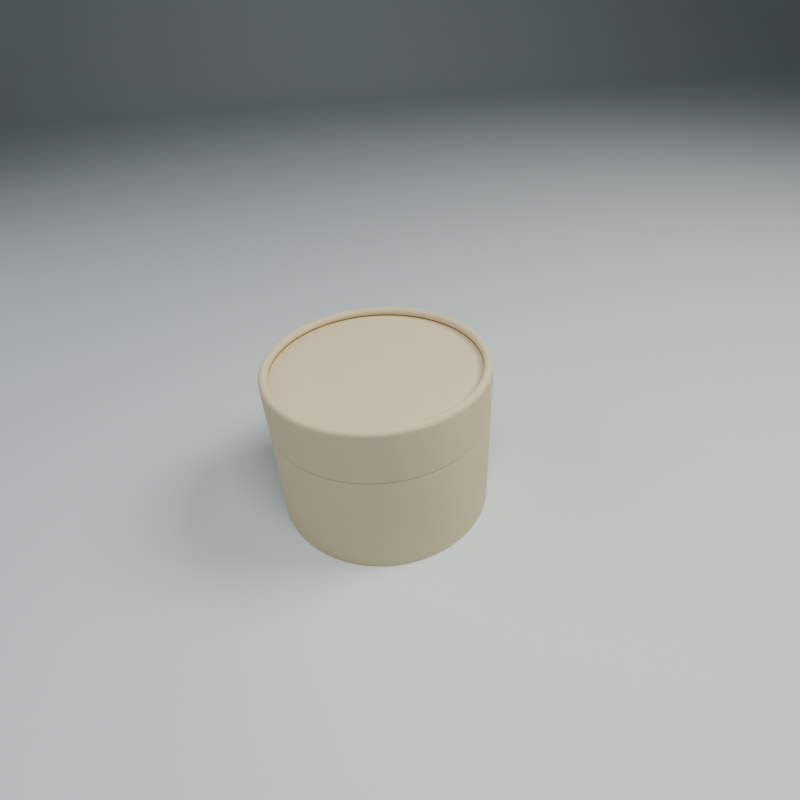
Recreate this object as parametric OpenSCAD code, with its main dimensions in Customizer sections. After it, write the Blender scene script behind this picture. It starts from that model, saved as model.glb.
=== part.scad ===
// Cylindrical gift tube box: a base with a neck glued into it, and a lid that lifts off the neck.
// The tubes are greyboard under cream paper. The lid's tube is rolled inwards over a sunken disc.
// The origin is the centre of the base's foot, on the table, and +Z points up through the lid.

/* [Box] */
// Outside diameter over the cover paper
box_d = 100; // [70:1:160]
// Height of the base, from the table to the seam
base_h = 50; // [30:1:120]
// Height of the lid, from the seam to the top of its rolled rim
lid_h = 25; // [20:1:60]
// Height of the base's disc above the table
foot_depth = 3; // [1.5:0.5:6]

/* [Board] */
// Thickness of the greyboard in the lid's tube
lid_tube_t = 1; // [0.8:0.1:1.6]
// Thickness of the greyboard in the neck
neck_tube_t = 1.2; // [0.9:0.1:2]
// Thickness of the greyboard disc in the lid
lid_disc_t = 1.6; // [1.2:0.1:2.4]
// Thickness of the greyboard disc in the base
base_disc_t = 1.6; // [1.2:0.1:2.4]
// Thickness of the card that lines the lid's disc
lid_card_t = 0.4; // [0.3:0.1:0.8]
// Thickness of the card on the floor
floor_card_t = 0.4; // [0.3:0.1:0.8]

/* [Paper] */
// Thickness of the cream cover paper
cover_t = 0.2; // [0.15:0.05:0.3]
// Thickness of the lining paper inside the lid and the neck
lining_t = 0.1; // [0.1:0.05:0.2]
// Radius of the cover paper where it turns round a tube's cut edge
edge_r = 0.4; // [0.4:0.05:0.6]
// Length of cover paper turned in at a tube's cut edge
turn_in = 10; // [6:1:13]
// Width of the ring of cover paper turned in behind a disc
disc_turn_in = 8; // [5:1:12]

/* [Rolled rim] */
// Radius of the hollow left in the middle of the roll
roll_core = 0.8; // [0.4:0.1:1.2]
// How much the roll is pressed flat where it bears on the disc
roll_press = 0.05; // [0.02:0.01:0.1]

/* [Fits] */
// Radial gap in which the lid slides on the neck
slide_gap = 0.2; // [0.15:0.05:0.4]
// Radial gap round the card under the lid's disc
lid_card_fit = 0.3; // [0.2:0.1:0.6]
// Radial gap round the card on the floor, which the neck stands on
floor_card_fit = 0.3; // [0.2:0.1:0.6]
// Headroom between the top of the neck and the card under the lid's disc
head_gap = 2.4; // [1:0.2:5]

/* [Hidden] */
$fn = 96;
cream = "#ddd3ba";
lining_white = "#efece2";
greyboard = "#a39a8a";

// Radii of the lid's tube, from the outside in
cover_out_r = box_d / 2;
board_out_r = cover_out_r - cover_t;
lid_board_r = board_out_r - lid_tube_t;
lid_lined_r = lid_board_r - lining_t;
lid_mouth_r = lid_lined_r - cover_t;

// Radii of the neck, which slides in the lid's mouth
neck_cover_r = lid_mouth_r - slide_gap;
neck_out_r = neck_cover_r - cover_t;
neck_in_r = neck_out_r - neck_tube_t;
inside_r = neck_in_r - lining_t;

// Radii of the base's tube, whose turned-in paper grips the neck and the disc
base_mouth_r = neck_cover_r;
base_board_r = base_mouth_r + cover_t;

// The roll, and the depth of the lid's disc under its top
roll_r = roll_core + lid_tube_t + cover_t;
roll_centre_r = cover_out_r - roll_r;
roll_z = lid_h - roll_r;
lid_disc_z = roll_z - roll_r + roll_press;

lid_disc_r = lid_lined_r;
base_disc_r = base_mouth_r;
lid_card_r = lid_lined_r - lid_card_fit;
floor_card_r = base_mouth_r - floor_card_fit;

// Heights in the closed box
floor_card_z = foot_depth + base_disc_t + 2 * cover_t;
neck_foot_z = floor_card_z + floor_card_t;
lid_card_z = base_h + lid_disc_z - lid_disc_t - 2 * cover_t - lid_card_t;
neck_h = lid_card_z - head_gap - neck_foot_z;

// In the outlines, x is the radius and a tube's cut edge lies at height 0

// Band from radius a to b, height 0 to h, with both corners at height 0 rounded by c
module lip(a, b, h, c) {
  translate([a + c, 0]) square([b - a - 2 * c, h]);
  translate([a, c]) square([b - a, h - c]);
  for (r = [a + c, b - c]) translate([r, c]) circle(c);
}

// Greyboard of a tube from radius a to b, with its cut edge inside the turned paper
module board_band(a, b, h) {
  translate([0, cover_t]) lip(a, b, h - cover_t, edge_r - cover_t);
}

// Lining paper of a tube h high, glued in before the cover paper is turned over it
module lining_band(r, h) {
  translate([r, edge_r]) square([lining_t, h - edge_r]);
}

// Cover paper turned in round a cut edge, over a board from radius a to b and inwards to m
module turned_edge(m, a, b) {
  difference() {
    lip(m, b + cover_t, turn_in, edge_r);
    board_band(a, b, turn_in);
  }
}

// Three quarters of a ring round the roll's centre: up from the wall, over and down behind the rim
module roll(outer, wall) {
  translate([roll_centre_r, roll_z]) intersection() {
    difference() {
      circle(outer);
      circle(outer - wall);
      translate([0, -outer]) square(outer);
    }
    translate([-outer, roll_press - roll_r]) square(2 * roll_r);
  }
}

// Upside down, with the cut edge at height z
module turned_over(z) {
  translate([0, 0, z]) mirror([0, 0, 1]) children();
}

// A disc lies with its outer face at height 0 and its board above
module disc_edge(radius, thickness, c) {
  square([radius - c, thickness]);
  translate([0, c]) square([radius, thickness - 2 * c]);
  for (z = [c, thickness - c]) translate([radius - c, z]) circle(c);
}

module board_disc(radius, thickness) {
  translate([0, 0, cover_t]) rotate_extrude()
    disc_edge(radius - cover_t, thickness, edge_r - cover_t);
}

module disc_paper(radius, thickness) {
  rotate_extrude() difference() {
    disc_edge(radius, thickness + 2 * cover_t, edge_r);
    translate([0, cover_t]) disc_edge(radius - cover_t, thickness, edge_r - cover_t);
    translate([0, cover_t + thickness / 2]) square([radius - disc_turn_in, thickness]);
  }
}

// Lid
module lid_cover_paper() {
  color(cream) translate([0, 0, base_h]) rotate_extrude() {
    difference() {
      turned_edge(lid_mouth_r, lid_board_r, board_out_r);
      lining_band(lid_lined_r, lid_disc_z);
    }
    translate([board_out_r, turn_in]) square([cover_t, roll_z - turn_in]);
    roll(roll_r, cover_t);
  }
}

module lid_board_tube() {
  color(greyboard) translate([0, 0, base_h]) rotate_extrude() {
    board_band(lid_board_r, board_out_r, roll_z);
    roll(roll_r - cover_t, lid_tube_t);
  }
}

module lid_lining_paper() {
  color(lining_white) translate([0, 0, base_h]) rotate_extrude() lining_band(lid_lined_r, lid_disc_z);
}

module lid_disc_paper() {
  color(cream) turned_over(base_h + lid_disc_z) disc_paper(lid_disc_r, lid_disc_t);
}

module lid_board_disc() {
  color(greyboard) turned_over(base_h + lid_disc_z) board_disc(lid_disc_r, lid_disc_t);
}

module lid_inside_card() {
  color(lining_white) translate([0, 0, lid_card_z]) cylinder(r = lid_card_r, h = lid_card_t);
}

// Base
module base_cover_paper() {
  color(cream) rotate_extrude() {
    turned_edge(base_mouth_r, base_board_r, board_out_r);
    translate([board_out_r, turn_in]) square([cover_t, base_h - 2 * turn_in]);
    translate([0, base_h]) mirror([0, 1]) turned_edge(base_mouth_r, base_board_r, board_out_r);
  }
}

module base_board_tube() {
  color(greyboard) rotate_extrude() {
    board_band(base_board_r, board_out_r, base_h / 2);
    translate([0, base_h]) mirror([0, 1]) board_band(base_board_r, board_out_r, base_h / 2);
  }
}

module base_disc_paper() {
  color(cream) translate([0, 0, foot_depth]) disc_paper(base_disc_r, base_disc_t);
}

module base_board_disc() {
  color(greyboard) translate([0, 0, foot_depth]) board_disc(base_disc_r, base_disc_t);
}

module base_floor_card() {
  color(lining_white) translate([0, 0, floor_card_z]) cylinder(r = floor_card_r, h = floor_card_t);
}

// Neck: it stands on the floor's card and guides the lid
module neck_cover_paper() {
  color(cream) turned_over(neck_foot_z + neck_h) rotate_extrude() {
    difference() {
      turned_edge(inside_r - cover_t, neck_in_r, neck_out_r);
      lining_band(inside_r, neck_h);
    }
    translate([neck_out_r, turn_in]) square([cover_t, neck_h - turn_in]);
  }
}

module neck_board_tube() {
  color(greyboard) turned_over(neck_foot_z + neck_h) rotate_extrude()
    board_band(neck_in_r, neck_out_r, neck_h);
}

module neck_lining_paper() {
  color(lining_white) turned_over(neck_foot_z + neck_h) rotate_extrude() lining_band(inside_r, neck_h);
}

lid_cover_paper();
lid_board_tube();
lid_lining_paper();
lid_disc_paper();
lid_board_disc();
lid_inside_card();
base_cover_paper();
base_board_tube();
base_disc_paper();
base_board_disc();
base_floor_card();
neck_cover_paper();
neck_board_tube();
neck_lining_paper();
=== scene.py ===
import math

import bpy
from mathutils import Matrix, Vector


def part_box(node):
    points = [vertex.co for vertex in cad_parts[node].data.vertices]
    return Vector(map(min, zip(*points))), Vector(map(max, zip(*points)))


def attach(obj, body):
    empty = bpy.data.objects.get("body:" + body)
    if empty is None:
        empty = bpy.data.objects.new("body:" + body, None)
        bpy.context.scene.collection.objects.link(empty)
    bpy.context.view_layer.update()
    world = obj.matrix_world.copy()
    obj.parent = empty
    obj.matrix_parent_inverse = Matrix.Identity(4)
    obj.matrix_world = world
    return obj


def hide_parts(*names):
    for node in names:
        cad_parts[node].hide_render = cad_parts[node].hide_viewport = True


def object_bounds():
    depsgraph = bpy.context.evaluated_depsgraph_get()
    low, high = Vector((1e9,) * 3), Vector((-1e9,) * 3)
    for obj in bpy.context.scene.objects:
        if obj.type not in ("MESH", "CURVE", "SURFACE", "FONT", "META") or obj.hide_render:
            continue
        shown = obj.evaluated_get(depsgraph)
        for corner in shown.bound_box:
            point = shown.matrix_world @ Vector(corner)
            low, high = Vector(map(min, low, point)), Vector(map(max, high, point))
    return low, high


bl_info = {
    "name": "Cylindrical gift tube box",
    "version": (1, 0, 0),
    "blender": (4, 5, 0),
    "location": "3D View > Sidebar > Tube Box",
    "description": "Papers and finishes of a round box with a lift-off lid and a rolled rim",
    "category": "Object",
}

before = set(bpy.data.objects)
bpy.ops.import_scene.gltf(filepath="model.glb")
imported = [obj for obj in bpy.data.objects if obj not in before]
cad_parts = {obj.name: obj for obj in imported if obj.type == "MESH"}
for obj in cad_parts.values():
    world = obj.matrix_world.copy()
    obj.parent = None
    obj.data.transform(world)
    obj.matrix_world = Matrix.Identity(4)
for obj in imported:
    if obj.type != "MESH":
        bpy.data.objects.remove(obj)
CAD_BOX = [list(corner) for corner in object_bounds()]

MM = 0.001
LID_LOW, LID_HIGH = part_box("lid_cover_paper")
BASE_LOW, BASE_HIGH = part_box("base_cover_paper")
DISC_LOW, DISC_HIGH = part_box("lid_disc_paper")
NECK_LOW, NECK_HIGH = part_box("neck_cover_paper")

# Steps of a full turn about the box's axis, of a quarter turn at a cut edge, and of the roll
AROUND = 288
CORNER = 6
ROLLED = 36
# Points nearer than this are one point
CLOSE = 1e-7
SMOOTH = math.radians(35)

# Noise cells in a metre of paper
CLOUDS = 70
FIBRES = 2600
SPECKS = 1500
FELT = 1100
FLECKS = 1300

# Middles of the two marked places in metres, and the squares of the distances from there at
# which the marks start to fade and are gone
SCRATCHES_AT = (0.013, -0.036)
SCRATCHES_FADE = (0.00006, 0.0003)
FLECKS_AT = (-0.0225, -0.0445, 0.0722)
FLECKS_FADE = (0.000004, 0.000022)

# Floor's width, the y where it starts to sweep up, the sweep's radius and the height above it
FLOOR = 4
FLOOR_BACK = 1.2
SWEEP = 0.5
BACKDROP = 2.5

# Name, place, width in metres, power in watts and colour
LAMPS = (
    ("key", (0.46, 0.0, 0.60), 0.30, 3.9, (1, 0.985, 0.95)),
    ("top", (0.03, -0.14, 0.35), 0.12, 0.62, (1, 0.985, 0.95)),
    ("left", (-0.6, 0.03, 0.48), 0.5, 1.6, (0.98, 0.985, 1)),
)
LAMPS_AIM = Vector((0, 0, 0.05))
SKY = (0.92, 0.96, 1, 1)
SKY_STRENGTH = 0.07

CAMERA_AT = (0, -0.20384, 0.20236)
YAW, PITCH, ROLL = (math.radians(degrees) for degrees in (2.654, 36.369, -3.57))
FOCAL_PIXELS = 560.6
PICTURE_PIXELS = 800
SENSOR_MM = 36


def length(name, description, default):
    return bpy.props.FloatProperty(
        name=name, description=description, default=default, unit="LENGTH", precision=5)


def azimuth(name, description, degrees):
    return bpy.props.FloatProperty(
        name=name, description=description, default=math.radians(degrees), subtype="ANGLE")


def colour(name, description, default):
    return bpy.props.FloatVectorProperty(
        name=name, description=description, default=default, size=3, subtype="COLOR", min=0, max=1)


class TubeBoxSizes(bpy.types.PropertyGroup):
    paper: length("Paper", "Thickness of the cover paper", 0.2 * MM)
    edge: length("Edge", "Radius of the cover paper round a cut edge", 0.4 * MM)
    turn_in: length("Turn-in", "Length of cover paper turned in at a cut edge", 10 * MM)
    disc_turn_in: length("Disc turn-in", "Length of paper turned in behind the disc", 8 * MM)
    roll: length("Roll", "Outside radius of the lid's rolled rim", 2 * MM)
    lid_wall: length("Lid wall", "Board and lining of the lid's tube", 1.1 * MM)
    base_wall: length("Base wall", "Board of the base's tube", 1.3 * MM)
    neck_wall: length("Neck wall", "Board and lining of the neck", 1.3 * MM)
    neck_bare: length("Neck bare", "Neck above the base's mouth, below its overlap", 1 * MM)
    overlap: length("Overlap", "Width of the strip where a cover sheet's ends overlap", 11 * MM)
    step: length("Step", "Height of that strip over the sheet below", 0.09 * MM)
    lid_overlap: azimuth("Lid overlap", "Where round the lid its sheet overlaps", 128)
    base_overlap: azimuth("Base overlap", "Where round the base its sheet overlaps", 52)
    neck_overlap: azimuth("Neck overlap", "Where round the neck its sheet overlaps", 215)


class TubeBoxColours(bpy.types.PropertyGroup):
    cream: colour("Cream", "Cover paper", (0.70, 0.605, 0.395))
    cream_dark: colour("Cream, darker", "Cover paper where the pulp is denser", (0.665, 0.57, 0.365))
    lining: colour("Lining", "Lining paper and cards", (0.80, 0.77, 0.69))
    board: colour("Greyboard", "Board under the papers", (0.30, 0.265, 0.21))
    shade: colour("Shade", "Paper deep in the seam and in the rim's crevice", (0.20, 0.16, 0.09))
    # Warm is painted warm shade, not a colour of the paper: it tints the disc's ring just inside the
    # roll
    warm: colour("Warm", "Painted warm shade at the disc's edge", (0.72, 0.53, 0.27))
    fibre: colour("Fibre", "Rubbed fibres under the rim and in scratches", (0.84, 0.78, 0.64))
    floor: colour("Floor", "Table top", (0.72, 0.80, 0.81))


def choices(context):
    return context.scene.tube_box_sizes, context.scene.tube_box_colours


class Wire:
    """A socket that takes part in Python sums, each of which adds a Math node."""

    def __init__(self, shader, socket):
        self.shader = shader
        self.socket = socket

    def math(self, operation, *others):
        return self.shader.node("Math", {"operation": operation}, [self, *others])

    def __add__(self, other):
        return self.math("ADD", other)

    def __mul__(self, other):
        return self.math("MULTIPLY", other)

    def __sub__(self, other):
        return self.math("SUBTRACT", other)

    def __rsub__(self, other):
        return self.shader.node("Math", {"operation": "SUBTRACT"}, [other, self])

    __radd__ = __add__
    __rmul__ = __mul__

    def square(self):
        return self.math("POWER", 2)

    def over(self, low, high):
        """0 below low, 1 above high, and smooth between them."""
        return self.shader.node("MapRange", {"interpolation_type": "SMOOTHSTEP"},
                                {"Value": self, "From Min": low, "From Max": high})

    def under(self, low, high):
        """1 below low, 0 above high, and smooth between them."""
        return 1 - self.over(low, high)


class Shader:
    """A material's node tree, with one method that adds any node."""

    def __init__(self, name):
        self.material = bpy.data.materials.new(name)
        self.material.use_nodes = True
        self.tree = self.material.node_tree
        self.surface = self.tree.nodes["Principled BSDF"]
        self.sizes, self.colours = choices(bpy.context)

    def put(self, socket, value):
        if isinstance(value, Wire):
            self.tree.links.new(value.socket, socket)
        else:
            socket.default_value = value

    def node(self, kind, settings, values, output=0):
        made = self.tree.nodes.new("ShaderNode" + kind)
        for key, value in settings.items():
            setattr(made, key, value)
        pairs = values.items() if isinstance(values, dict) else enumerate(values)
        for key, value in pairs:
            self.put(made.inputs[key], value)
        return Wire(self, made.outputs[output])

    def here(self):
        return self.node("TexCoord", {}, {}, output="Object")

    def axes(self):
        """The point's x, y and z and its distance from the box's axis."""
        split = self.node("SeparateXYZ", {}, {"Vector": self.here()}).socket.node
        x, y, z = (Wire(self, output) for output in split.outputs)
        return x, y, z, (x * x + y * y).math("SQRT")

    def place(self, scale=(1, 1, 1), rotation=(0, 0, 0)):
        return self.node("Mapping", {}, {"Vector": self.here(), "Rotation": rotation, "Scale": scale})

    def noise(self, place, scale, detail=4.0, roughness=0.6):
        return self.node("TexNoise", {}, {"Vector": place, "Scale": scale, "Detail": detail,
                                          "Roughness": roughness})

    def mix(self, factor, low, high):
        made = self.tree.nodes.new("ShaderNodeMix")
        made.data_type = "RGBA"
        self.put(made.inputs["Factor"], factor)
        # The node names its inputs A and B once for each data type: 6 and 7 are the colours
        for key, value in ((6, low), (7, high)):
            self.put(made.inputs[key], value if isinstance(value, Wire) else (*value, 1))
        return Wire(self, made.outputs[2])

    def finish(self, **values):
        for key, value in values.items():
            self.put(self.surface.inputs[key.replace("_", " ")], value)
        return self.material


def paper_material(name, light, dark, tooth=1.0, marks=None, deep=None):
    """Uncoated paper: pulp clouds, fine fibres, a felt tooth in the bump."""
    shader = Shader(name)
    clouds = shader.noise(shader.place(), CLOUDS, 5)
    fibres = shader.noise(shader.place((1, 1, 0.22)), FIBRES, 3, 0.7)
    specks = shader.noise(shader.place(), SPECKS, 2).over(0.67, 0.74)
    felt = shader.noise(shader.place(), FELT, 4)
    tone = clouds.over(0.3, 0.7) * 0.55 + fibres * 0.45
    face = shader.mix(tone, dark, light)
    face = shader.mix(specks * 0.35, face, [channel * 0.8 for channel in dark])
    height = fibres * 0.55 + felt * 0.45
    if marks:
        rubbed = marks(shader)
        face = shader.mix(rubbed, face, shader.colours.fibre)
        height = height + rubbed * 0.6
    # deep paints shade into the colour: in the seam between lid and base, and on the disc under the
    # roll
    if deep:
        face = deep(shader, face)
    bump = shader.node("Bump", {}, {"Strength": 0.22 * tooth, "Distance": 0.12 * MM, "Height": height})
    return shader.finish(Base_Color=face, Roughness=fibres * 0.12 + 0.78, Normal=bump,
                         Specular_IOR_Level=0.32)


def seam_shade(shader, face):
    """Darkens the rounded edges that meet at the seam between lid and base."""
    _, _, z, radius = shader.axes()
    inside = radius.under(LID_HIGH.x - 0.26 * MM, LID_HIGH.x - 0.05 * MM)
    at_seam = (z - LID_LOW.z).math("ABSOLUTE").under(0.3 * MM, 0.5 * MM)
    return shader.mix(inside * at_seam * 0.8, face, shader.colours.shade)


def rim_shade(shader, face):
    """Paints shade on the disc where it goes under the roll, with a ring of painted warm shade before
    it that is stronger on the left.
    """
    x, _, _, radius = shader.axes()
    roll_inside = LID_HIGH.x - 2 * shader.sizes.roll
    # ring and leftward place painted warm shade just before the roll, stronger towards the left
    ring = radius.over(roll_inside - 1.1 * MM, roll_inside + 0.3 * MM)
    leftward = (0.5 - x * 7).math("MAXIMUM", 0.15)
    warmed = shader.mix(ring * leftward, face, shader.colours.warm)
    crevice = radius.over(roll_inside + 0.15 * MM, roll_inside + 0.9 * MM)
    return shader.mix(crevice * 0.85, warmed, shader.colours.shade)


def disc_marks(shader):
    """A few short fine scratches in the front right of the sunken disc."""
    turned = shader.place((900, 140, 1), (0, 0, 0.9))
    lines = shader.noise(turned, 1.0, 1.0).over(0.71, 0.75)
    x, y, _, _ = shader.axes()
    away = (x - SCRATCHES_AT[0]).square() + (y - SCRATCHES_AT[1]).square()
    return lines * away.under(*SCRATCHES_FADE) * 0.5


def rim_marks(shader):
    """Rubbed fibres where the roll meets the wall, at the front left."""
    x, y, z, _ = shader.axes()
    away = (x - FLECKS_AT[0]).square() + (y - FLECKS_AT[1]).square() \
        + ((z - FLECKS_AT[2]) * 2.4).square()
    flecks = shader.noise(shader.place((1, 1, 2.5)), FLECKS, 2).over(0.55, 0.66)
    return flecks * away.under(*FLECKS_FADE) * 0.8


def deselect():
    if bpy.context.mode != "OBJECT":
        bpy.ops.object.mode_set(mode="OBJECT")
    bpy.ops.object.select_all(action="DESELECT")


def pick(piece, kind, test):
    """Selects the active piece's vertices or faces that pass the test, in edit mode."""
    bpy.ops.object.mode_set(mode="EDIT")
    bpy.ops.mesh.select_mode(type=kind)
    bpy.ops.mesh.select_all(action="DESELECT")
    bpy.ops.object.mode_set(mode="OBJECT")
    for part in piece.data.vertices if kind == "VERT" else piece.data.polygons:
        part.select = test(part)
    bpy.ops.object.mode_set(mode="EDIT")


class Strip:
    """A paper's section, drawn from its first edge by straight runs and turns, then spun."""

    def __init__(self, name, radius, height, thickness, run):
        """Starts between radius and radius + thickness at height, and goes straight by run."""
        deselect()
        bpy.ops.mesh.primitive_plane_add(size=1, location=(0, 0, 0), enter_editmode=True)
        self.piece = bpy.context.object
        self.piece.name = name
        bpy.ops.transform.resize(value=(thickness, abs(run), 1))
        bpy.ops.transform.rotate(value=-math.pi / 2, orient_axis="X", center_override=(0, 0, 0))
        bpy.ops.transform.translate(value=(radius + thickness / 2, 0, height + run / 2))
        self.go_on_from(height + run)

    def go_on_from(self, height):
        """Takes the edge at this height as the one that the next run or turn starts at."""
        pick(self.piece, "VERT", lambda vertex: abs(vertex.co.z - height) < CLOSE)
        bpy.ops.mesh.select_mode(type="EDGE")

    def go(self, x, z, steps=1):
        for _ in range(steps):
            bpy.ops.mesh.extrude_region_move(
                TRANSFORM_OT_translate={"value": (x / steps, 0, z / steps)})

    def turn(self, x, z, degrees, steps=CORNER):
        """Turns about (x, z); mesh.spin takes its angle against the right-hand rule."""
        bpy.ops.mesh.spin(steps=steps, angle=math.radians(-degrees), center=(x, 0, z), axis=(0, 1, 0))

    def around(self):
        """Keeps the section's outline and spins it about the box's axis."""
        bpy.ops.mesh.select_all(action="SELECT")
        bpy.ops.mesh.remove_doubles(threshold=CLOSE)
        bpy.ops.mesh.region_to_loop()
        bpy.ops.mesh.select_all(action="INVERT")
        bpy.ops.mesh.delete(type="EDGE")
        bpy.ops.mesh.select_all(action="SELECT")
        bpy.ops.mesh.delete(type="ONLY_FACE")
        bpy.ops.mesh.select_all(action="SELECT")
        bpy.ops.mesh.spin(steps=AROUND, angle=math.tau, center=(0, 0, 0), axis=(0, 0, 1))
        bpy.ops.mesh.select_all(action="SELECT")
        bpy.ops.mesh.remove_doubles(threshold=CLOSE)
        bpy.ops.mesh.delete_loose(use_verts=True, use_edges=True, use_faces=False)
        bpy.ops.mesh.select_all(action="SELECT")
        bpy.ops.mesh.normals_make_consistent(inside=False)
        bpy.ops.object.mode_set(mode="OBJECT")
        return self.piece


def raise_overlap(piece, sizes, radius, low, high, middle):
    """Lifts the strip where the sheet's last centimetre lies over its first."""
    half = sizes.overlap / radius / 2

    def inside(face):
        x, y, z = face.center
        off = math.remainder(math.atan2(y, x) - middle, math.tau)
        return math.hypot(x, y) > radius - 0.04 * MM and abs(off) < half and low < z < high

    pick(piece, "FACE", inside)
    bpy.ops.mesh.extrude_region_move()
    grow = (radius + sizes.step) / radius
    bpy.ops.transform.resize(value=(grow, grow, 1), center_override=(0, 0, 0))
    bpy.ops.object.mode_set(mode="OBJECT")


def dress(piece, material, body, node):
    """Gives a finished piece its material and its body, and hides the CAD node that it stands for."""
    deselect()
    piece.select_set(True)
    bpy.context.view_layer.objects.active = piece
    bpy.ops.object.transform_apply(location=True, rotation=True, scale=True)
    bpy.ops.object.shade_smooth_by_angle(angle=SMOOTH)
    piece.data.materials.clear()
    piece.data.materials.append(material)
    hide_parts(node)
    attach(piece, body)


class OBJECT_OT_tube_box_lid_paper(bpy.types.Operator):
    """Make the lid's cover paper with its rolled rim"""
    bl_idname = "object.tube_box_lid_paper"
    bl_label = "Lid paper"

    def execute(self, context):
        s, c = choices(context)
        outer, seam, top = LID_HIGH.x, LID_LOW.z, LID_HIGH.z
        inner = outer - 2 * s.paper - s.lid_wall
        roll_x, roll_z = outer - s.roll, top - s.roll
        strip = Strip("lid_cover", inner, seam + s.turn_in, s.paper, s.edge - s.turn_in)
        strip.turn(inner + s.edge, seam + s.edge, -90)
        strip.go(outer - inner - 2 * s.edge, 0)
        strip.turn(outer - s.edge, seam + s.edge, -90)
        strip.go(0, roll_z - seam - s.edge, 12)
        strip.turn(roll_x, roll_z, -270, ROLLED)
        piece = strip.around()
        raise_overlap(piece, s, outer, seam + s.edge, roll_z, s.lid_overlap)
        paper = paper_material("cream paper, lid", c.cream, c.cream_dark, 1, rim_marks, seam_shade)
        dress(piece, paper, "lid", "lid_cover_paper")
        return {"FINISHED"}


class OBJECT_OT_tube_box_lid_disc(bpy.types.Operator):
    """Make the paper on the sunken disc"""
    bl_idname = "object.tube_box_lid_disc"
    bl_label = "Lid disc"

    def execute(self, context):
        s, c = choices(context)
        radius, low, high = DISC_HIGH.x, DISC_LOW.z, DISC_HIGH.z
        strip = Strip("lid_disc", radius - s.paper, low + s.edge, s.paper, high - low - 2 * s.edge)
        strip.turn(radius - s.edge, high - s.edge, -90)
        strip.go(s.edge - radius, 0, 24)
        strip.go_on_from(low + s.edge)
        strip.turn(radius - s.edge, low + s.edge, 90)
        strip.go(s.edge - s.disc_turn_in, 0)
        piece = strip.around()
        paper = paper_material("cream paper, disc", c.cream, c.cream_dark, 0.9, disc_marks, rim_shade)
        dress(piece, paper, "lid", "lid_disc_paper")
        return {"FINISHED"}


class OBJECT_OT_tube_box_base_paper(bpy.types.Operator):
    """Make the base's cover paper, turned in at the mouth and at the foot"""
    bl_idname = "object.tube_box_base_paper"
    bl_label = "Base paper"

    def execute(self, context):
        s, c = choices(context)
        outer, low, high = BASE_HIGH.x, BASE_LOW.z, BASE_HIGH.z
        inner = outer - 2 * s.paper - s.base_wall
        across = outer - inner - 2 * s.edge
        strip = Strip("base_cover", inner, low + s.turn_in, s.paper, s.edge - s.turn_in)
        strip.turn(inner + s.edge, low + s.edge, -90)
        strip.go(across, 0)
        strip.turn(outer - s.edge, low + s.edge, -90)
        strip.go(0, high - low - 2 * s.edge, 16)
        strip.turn(outer - s.edge, high - s.edge, -90)
        strip.go(-across, 0)
        strip.turn(inner + s.edge, high - s.edge, -90)
        strip.go(0, s.edge - s.turn_in)
        piece = strip.around()
        raise_overlap(piece, s, outer, low + s.edge, high - s.edge, s.base_overlap)
        paper = paper_material("cream paper, base", c.cream, c.cream_dark, deep=seam_shade)
        dress(piece, paper, "base", "base_cover_paper")
        return {"FINISHED"}


class OBJECT_OT_tube_box_neck_paper(bpy.types.Operator):
    """Make the neck's cover paper, turned in over its top edge"""
    bl_idname = "object.tube_box_neck_paper"
    bl_label = "Neck paper"

    def execute(self, context):
        s, c = choices(context)
        outer, low, high = NECK_HIGH.x, NECK_LOW.z, NECK_HIGH.z
        inner = outer - 2 * s.paper - s.neck_wall
        bare_to = BASE_HIGH.z + s.neck_bare
        strip = Strip("neck_cover", outer - s.paper, low, s.paper, bare_to - low)
        strip.go(0, high - s.edge - bare_to, 6)
        strip.turn(outer - s.edge, high - s.edge, -90)
        strip.go(inner - outer + 2 * s.edge, 0)
        strip.turn(inner + s.edge, high - s.edge, -90)
        strip.go(0, s.edge - s.turn_in)
        piece = strip.around()
        raise_overlap(piece, s, outer, bare_to, high - s.edge, s.neck_overlap)
        paper = paper_material("cream paper, neck", c.cream, c.cream_dark)
        dress(piece, paper, "base", "neck_cover_paper")
        return {"FINISHED"}


class OBJECT_OT_tube_box_inner_finish(bpy.types.Operator):
    """Finish the linings, cards, boards and the bottom disc, which keep their CAD shape"""
    bl_idname = "object.tube_box_inner_finish"
    bl_label = "Inner finishes"

    def execute(self, context):
        _, c = choices(context)
        white = paper_material("white lining paper", c.lining, [v * 0.94 for v in c.lining], 0.6)
        board = paper_material("greyboard", c.board, [v * 0.7 for v in c.board], 1.6)
        cream = paper_material("cream paper, bottom", c.cream, c.cream_dark)
        for name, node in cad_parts.items():
            if "board" in name:
                material = board
            elif "lining" in name or "card" in name:
                material = white
            else:
                material = cream
            node.data.materials.clear()
            node.data.materials.append(material)
        return {"FINISHED"}


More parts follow.
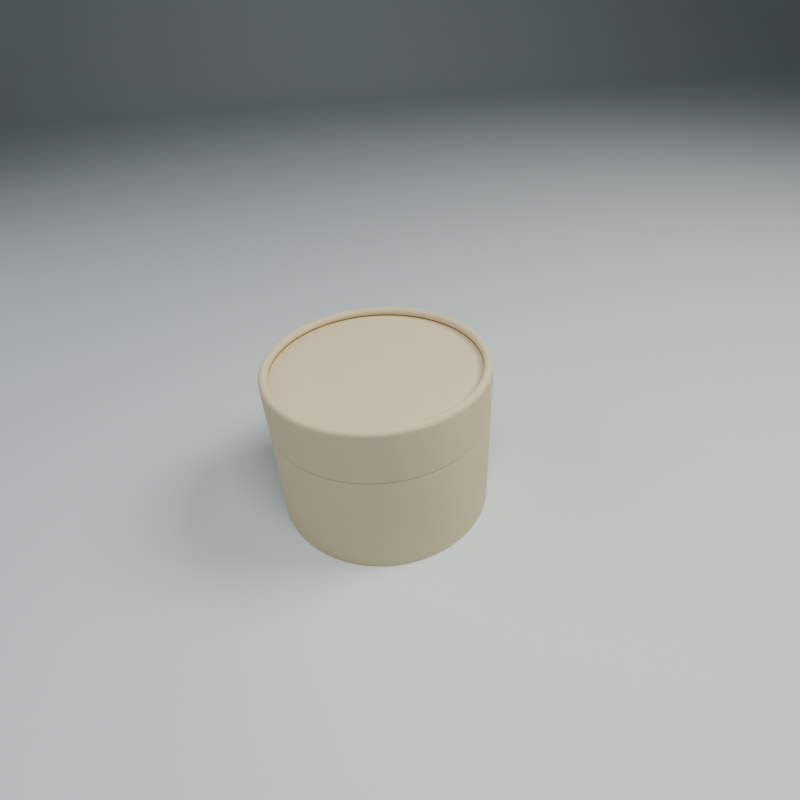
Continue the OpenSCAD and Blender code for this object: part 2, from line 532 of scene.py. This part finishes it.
class OBJECT_OT_tube_box_stage(bpy.types.Operator):
    """Make the floor, the lights and the camera"""
    bl_idname = "object.tube_box_stage"
    bl_label = "Stage"

    def execute(self, context):
        self.floor(context)
        self.lights(context)
        self.camera(context)
        return {"FINISHED"}

    def floor(self, context):
        """A pale floor just under the box, which sweeps up behind it."""
        tint = choices(context)[1].floor
        deselect()
        below = CAD_BOX[0][2] - 0.02 * MM
        bpy.ops.mesh.primitive_plane_add(
            size=FLOOR, location=(0, FLOOR_BACK - FLOOR / 2, below), enter_editmode=True)
        floor = bpy.context.object
        floor.name = "floor"
        pick(floor, "VERT", lambda vertex: vertex.co.y > 0)
        bpy.ops.mesh.select_mode(type="EDGE")
        bpy.ops.mesh.spin(
            steps=32, angle=-math.pi / 2, center=(0, FLOOR_BACK, below + SWEEP), axis=(1, 0, 0))
        bpy.ops.mesh.extrude_region_move(TRANSFORM_OT_translate={"value": (0, 0, BACKDROP)})
        bpy.ops.object.mode_set(mode="OBJECT")
        bpy.ops.object.transform_apply(location=True, rotation=True, scale=True)
        bpy.ops.object.shade_smooth_by_angle(angle=SMOOTH)
        shader = Shader("pale floor")
        grain = shader.noise(shader.place(), 900, 3)
        face = shader.mix(grain, [channel * 0.97 for channel in tint], tint)
        floor.data.materials.append(shader.finish(Base_Color=face, Roughness=0.62))

    def lights(self, context):
        for name, place, size, watts, tint in LAMPS:
            bpy.ops.object.light_add(type="AREA", location=place)
            lamp = bpy.context.object
            lamp.name = name
            lamp.data.size = size
            lamp.data.energy = watts
            lamp.data.color = tint
            lamp.rotation_euler = (LAMPS_AIM - Vector(place)).to_track_quat("-Z", "Y").to_euler()
        world = bpy.data.worlds.new("studio")
        world.use_nodes = True
        sky = world.node_tree.nodes["Background"]
        sky.inputs["Color"].default_value = SKY
        sky.inputs["Strength"].default_value = SKY_STRENGTH
        context.scene.world = world

    def camera(self, context):
        bpy.ops.object.camera_add(location=CAMERA_AT)
        camera = bpy.context.object
        camera.name = "camera"
        forward = Vector((math.sin(YAW) * math.cos(PITCH), math.cos(YAW) * math.cos(PITCH),
                          -math.sin(PITCH)))
        turn = forward.to_track_quat("-Z", "Y").to_matrix()
        right, above = turn.col[0].copy(), turn.col[1].copy()
        turn.col[0] = math.cos(ROLL) * right + math.sin(ROLL) * above
        turn.col[1] = math.cos(ROLL) * above - math.sin(ROLL) * right
        camera.rotation_euler = turn.to_euler()
        camera.data.sensor_width = SENSOR_MM
        camera.data.lens = FOCAL_PIXELS / PICTURE_PIXELS * SENSOR_MM
        camera.data.clip_start = 0.01
        context.scene.camera = camera


OPERATORS = (
    OBJECT_OT_tube_box_stage,
    OBJECT_OT_tube_box_inner_finish,
    OBJECT_OT_tube_box_base_paper,
    OBJECT_OT_tube_box_neck_paper,
    OBJECT_OT_tube_box_lid_paper,
    OBJECT_OT_tube_box_lid_disc,
)


class VIEW3D_PT_tube_box(bpy.types.Panel):
    """Sizes, colours and the pieces in order"""
    bl_idname = "VIEW3D_PT_tube_box"
    bl_label = "Tube Box"
    bl_space_type = "VIEW_3D"
    bl_region_type = "UI"
    bl_category = "Tube Box"

    def draw(self, context):
        for group in choices(context):
            for name in group.__annotations__:
                self.layout.prop(group, name)
        for operator in OPERATORS:
            self.layout.operator(operator.bl_idname)


CLASSES = (TubeBoxSizes, TubeBoxColours, *OPERATORS, VIEW3D_PT_tube_box)


def register():
    for kind in CLASSES:
        bpy.utils.register_class(kind)
    bpy.types.Scene.tube_box_sizes = bpy.props.PointerProperty(type=TubeBoxSizes)
    bpy.types.Scene.tube_box_colours = bpy.props.PointerProperty(type=TubeBoxColours)


def unregister():
    del bpy.types.Scene.tube_box_colours
    del bpy.types.Scene.tube_box_sizes
    for kind in reversed(CLASSES):
        bpy.utils.unregister_class(kind)


def main():
    register()
    for operator in OPERATORS:
        group, name = operator.bl_idname.split(".")
        getattr(getattr(bpy.ops, group), name)()


if __name__ == "__main__":
    main()
